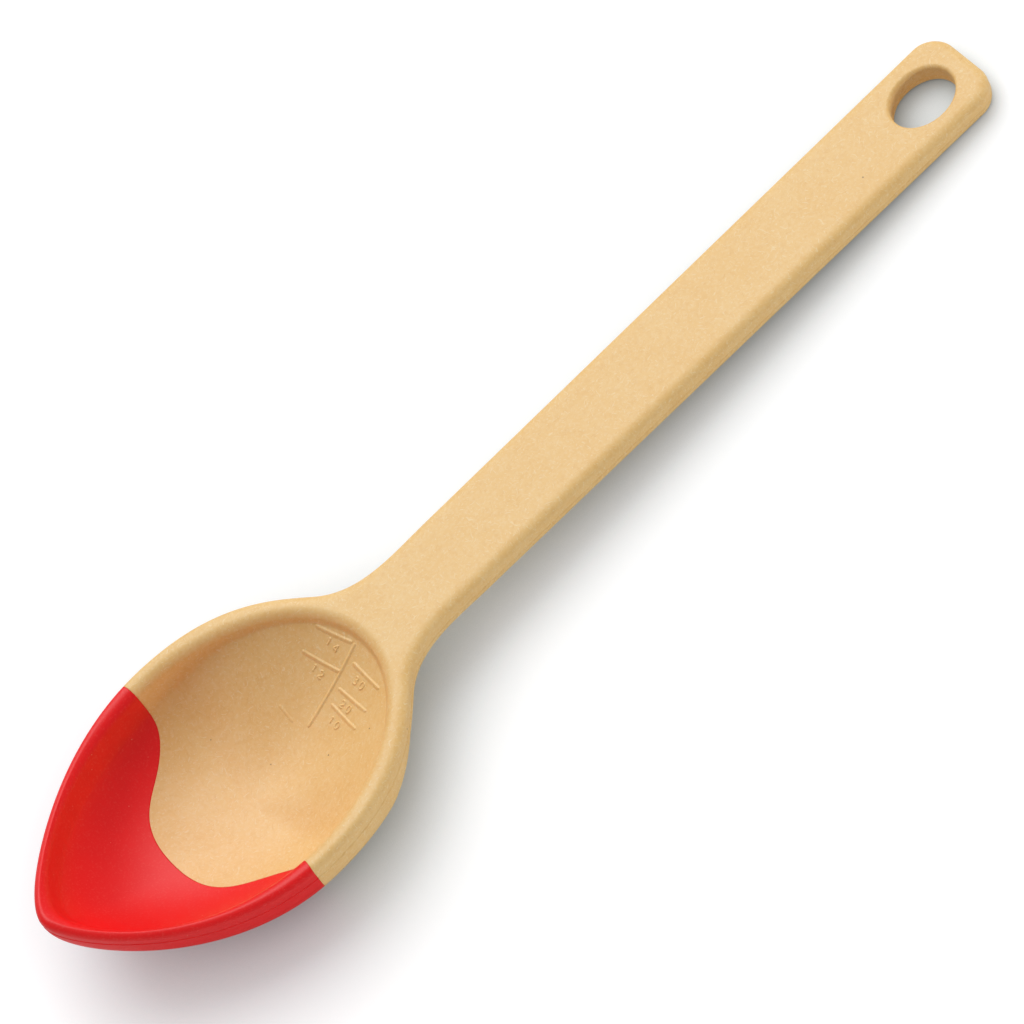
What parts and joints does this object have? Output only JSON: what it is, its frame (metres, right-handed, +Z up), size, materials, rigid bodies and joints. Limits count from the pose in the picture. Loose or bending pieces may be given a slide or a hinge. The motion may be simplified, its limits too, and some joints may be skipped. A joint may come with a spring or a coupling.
{
  "type": "cooking spoon",
  "caption": "Large flat-handled cooking and serving spoon with a deep pointed oval bowl and a soft over-moulded silicone tip, lying on a table.",
  "frame": {"origin": "centre of the bounding box on the plane of the table that the spoon lies on", "axes": "+X along the spoon from the tip of the bowl to the end of the handle, +Y to the left of the handle seen from its end, +Z up out of the bowl"},
  "size_m": [0.329, 0.0794, 0.0376],
  "materials": {
    "composite": "smooth satin plastic with fine wood fibre in it",
    "silicone": "smooth satin silicone"
  },
  "bodies": {
    "root": {"spoon_body": "composite", "silicone_tip": "silicone"}
  },
  "joints": []
}
